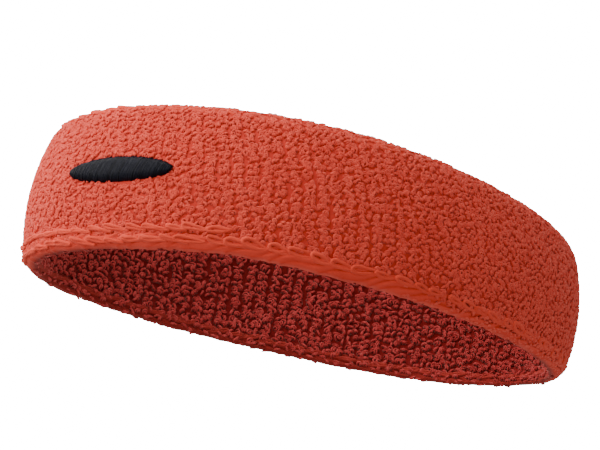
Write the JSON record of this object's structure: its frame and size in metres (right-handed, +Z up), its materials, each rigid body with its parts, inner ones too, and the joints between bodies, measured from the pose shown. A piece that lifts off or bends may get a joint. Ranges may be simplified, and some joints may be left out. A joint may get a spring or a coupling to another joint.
{
  "type": "sports headband",
  "caption": "Elastic terry sweatband for the forehead: a doubled terry knit loop with smooth rolled edges, elastic yarns inside and a plain oval embroidered badge.",
  "frame": {"origin": "middle of the head opening, level with the lower edge: the bottom centre of the bounding box", "axes": "+Z up, from the lower edge to the upper edge; +X along the oval's long side; -Y is the side that faces the viewer, with the badge at its -X end"},
  "size_m": [0.2135, 0.1304, 0.05],
  "materials": {
    "outer_terry": "cotton terry loops, matt",
    "inner_terry": "cotton terry loops, matt",
    "edge_knit": "plain knit, matt",
    "stitch_yarn": "chain stitched yarn, matt",
    "elastic_yarn": "covered elastic yarn, matt",
    "badge_thread": "satin stitched thread, slight sheen",
    "stabiliser": "thin non-woven sheet, matt"
  },
  "bodies": {
    "root": {"outer_terry_face": "outer_terry", "inner_terry_face": "inner_terry", "lower_edge_fold": "edge_knit", "upper_edge_fold": "edge_knit", "lower_edge_stitching": "stitch_yarn", "upper_edge_stitching": "stitch_yarn", "closing_seam_thread": "stitch_yarn", "elastic_hoop_1": "elastic_yarn", "elastic_hoop_2": "elastic_yarn", "elastic_hoop_3": "elastic_yarn", "elastic_hoop_4": "elastic_yarn", "elastic_hoop_5": "elastic_yarn", "elastic_hoop_6": "elastic_yarn", "embroidered_badge": "badge_thread", "badge_backing": "stabiliser", "badge_bobbin_thread": "badge_thread"}
  },
  "joints": []
}
